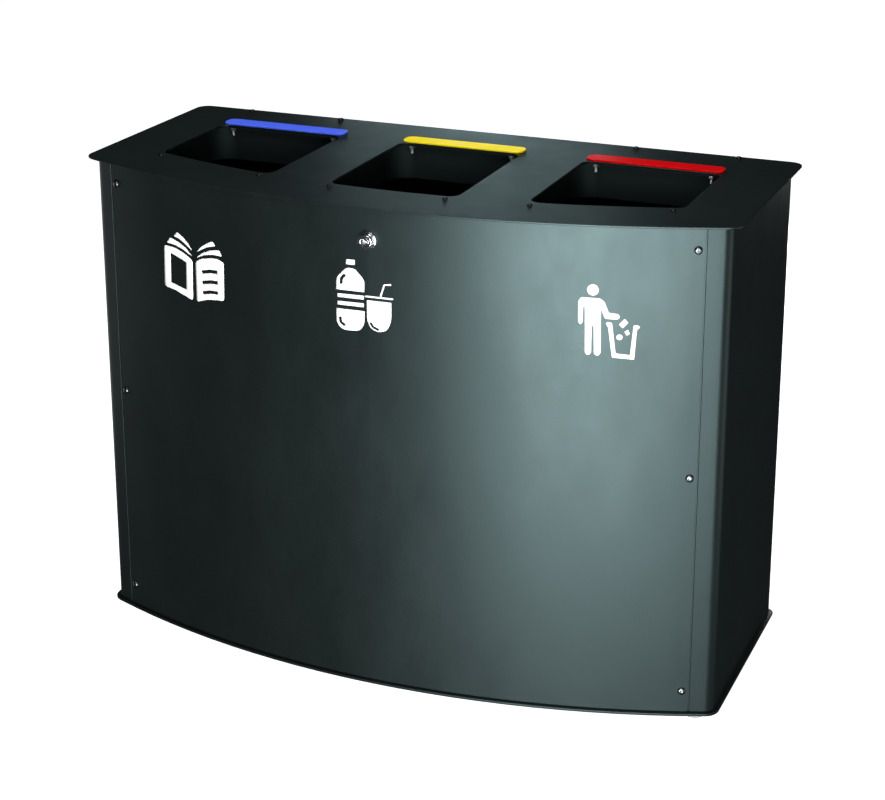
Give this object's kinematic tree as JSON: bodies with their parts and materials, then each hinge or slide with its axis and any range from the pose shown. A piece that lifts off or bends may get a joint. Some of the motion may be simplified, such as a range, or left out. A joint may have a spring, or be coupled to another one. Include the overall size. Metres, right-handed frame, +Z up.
{
  "type": "litter bin",
  "caption": "Bow-fronted sheet-steel recycling bin: flat hinged lid with rectangular drop-in apertures and colour strips, cam lock, lift-out liners inside a screwed cabinet.",
  "frame": {"origin": "on the floor, under the middle of the lid plate: centre of the bounding box in plan, bottom of the feet", "axes": "+X to the right seen from the front, -Y out of the bowed front (the lock side), +Z up"},
  "size_m": [1.036, 0.482, 0.7683],
  "materials": {
    "graphite_powder_coat": "fine-textured satin powder coat",
    "strip_blue": "satin coated",
    "strip_yellow": "satin coated",
    "strip_red": "satin coated",
    "galvanised_sheet": "galvanised",
    "zinc_hardware": "bright zinc plated",
    "lock_nickel": "bright nickel",
    "screw_black": "black oxide",
    "hinge_leaf": "satin powder coat",
    "glide_pad": "satin moulded nylon",
    "buffer_rubber": "matte"
  },
  "bodies": {
    "cabinet": {"base_plate": "graphite_powder_coat", "side_panel_right": "graphite_powder_coat", "side_panel_left": "graphite_powder_coat", "back_panel": "graphite_powder_coat", "front_panel": "graphite_powder_coat", "panel_screw_left_bottom": "screw_black", "panel_screw_right_bottom": "screw_black", "panel_screw_left_middle": "screw_black", "panel_screw_right_middle": "screw_black", "panel_screw_left_top": "screw_black", "panel_screw_right_top": "screw_black", "foot_front_left": "glide_pad", "foot_front_right": "glide_pad", "foot_back_left": "glide_pad", "foot_back_right": "glide_pad", "liner_guide_left": "galvanised_sheet", "liner_guide_right": "galvanised_sheet", "lid_buffer_left": "buffer_rubber", "lid_buffer_right": "buffer_rubber", "hinge_leaf_cabinet_left": "hinge_leaf", "hinge_leaf_cabinet_right": "hinge_leaf", "hinge_pin_left": "zinc_hardware", "hinge_pin_right": "zinc_hardware", "lock_barrel": "lock_nickel", "lock_nut": "lock_nickel"},
    "lid": {"lid_plate": "graphite_powder_coat", "lock_catch": "zinc_hardware", "colour_strip_left": "strip_blue", "chute_left": "graphite_powder_coat", "chute_screw_left_left": "screw_black", "chute_screw_left_right": "screw_black", "strip_stud_left_left": "zinc_hardware", "strip_stud_left_right": "zinc_hardware", "colour_strip_centre": "strip_yellow", "chute_centre": "graphite_powder_coat", "chute_screw_centre_left": "screw_black", "chute_screw_centre_right": "screw_black", "strip_stud_centre_left": "zinc_hardware", "strip_stud_centre_right": "zinc_hardware", "colour_strip_right": "strip_red", "chute_right": "graphite_powder_coat", "chute_screw_right_left": "screw_black", "chute_screw_right_right": "screw_black", "strip_stud_right_left": "zinc_hardware", "strip_stud_right_right": "zinc_hardware", "hinge_leaf_lid_left": "hinge_leaf", "hinge_screw_left_outer": "screw_black", "hinge_screw_left_inner": "screw_black", "hinge_leaf_lid_right": "hinge_leaf", "hinge_screw_right_outer": "screw_black", "hinge_screw_right_inner": "screw_black"},
    "lock": {"lock_plug": "lock_nickel", "lock_cam": "zinc_hardware", "lock_cam_screw": "zinc_hardware"},
    "liner_left": {"liner_left": "galvanised_sheet"},
    "liner_centre": {"liner_centre": "galvanised_sheet"},
    "liner_right": {"liner_right": "galvanised_sheet"}
  },
  "joints": [
    {"name": "lid_hinge", "type": "hinge", "parent": "cabinet", "child": "lid", "pos_m": [0, 0.232, 0.754], "axis": [-1, 0, 0], "range_deg": [0, 100]},
    {"name": "cam_lock", "type": "hinge", "parent": "cabinet", "child": "lock", "pos_m": [0, -0.2, 0.713], "axis": [0, 1, 0], "range_deg": [0, 90]},
    {"name": "liner_left_lift", "type": "slide", "parent": "cabinet", "child": "liner_left", "axis": [0, 0, 1], "range_m": [0, 0.055]},
    {"name": "liner_centre_lift", "type": "slide", "parent": "cabinet", "child": "liner_centre", "axis": [0, 0, 1], "range_m": [0, 0.055]},
    {"name": "liner_right_lift", "type": "slide", "parent": "cabinet", "child": "liner_right", "axis": [0, 0, 1], "range_m": [0, 0.055]}
  ]
}
